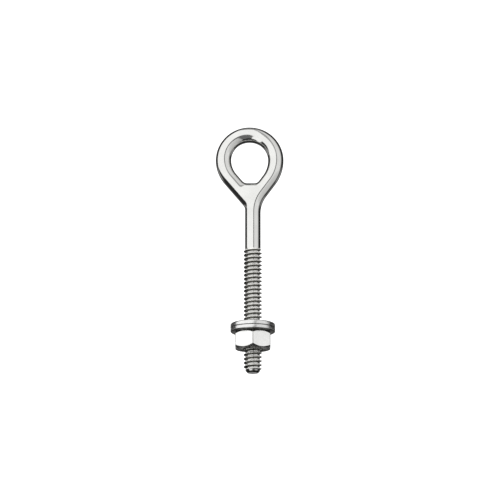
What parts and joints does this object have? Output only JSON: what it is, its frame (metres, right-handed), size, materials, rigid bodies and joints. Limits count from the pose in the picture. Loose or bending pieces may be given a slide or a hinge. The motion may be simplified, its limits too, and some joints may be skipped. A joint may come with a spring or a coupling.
{
  "type": "eye bolt",
  "caption": "Round-bar eye bolt with a closed eye, plain shank and rolled thread, carrying flat washers and a chamfered hex nut that turns along the thread.",
  "frame": {"origin": "on the thread's axis, level with the centre of the ring, inside the eye's opening", "axes": "+Z along the thread's axis towards the ring, so the thread points to -Z; the ring lies in the XZ plane and +Y goes through the eye"},
  "size_m": [0.0179, 0.0116, 0.0658],
  "materials": {
    "bolt_steel": "polished",
    "washer_steel": "polished",
    "nut_steel": "polished"
  },
  "bodies": {
    "eye_bolt": {"eye_bolt": "bolt_steel"},
    "upper_washer": {"upper_washer": "washer_steel"},
    "lower_washer": {"lower_washer": "washer_steel"},
    "hex_nut": {"hex_nut": "nut_steel"}
  },
  "joints": [
    {"name": "nut_travel", "type": "slide", "parent": "eye_bolt", "child": "lower_washer", "axis": [0, 0, 1], "range_m": [-0.00529, 0.02116]},
    {"name": "nut_turn", "type": "hinge", "parent": "lower_washer", "child": "hex_nut", "pos_m": [0, 0, -0.0484], "axis": [0, 0, 1], "range_deg": [-1800, 7200]},
    {"name": "upper_washer_lift", "type": "slide", "parent": "lower_washer", "child": "upper_washer", "axis": [0, 0, 1], "range_m": [0, 0.008]}
  ],
  "couplings": [
    {"joint": "nut_turn", "follows": "nut_travel", "rad_per_m": 5936.9}
  ]
}
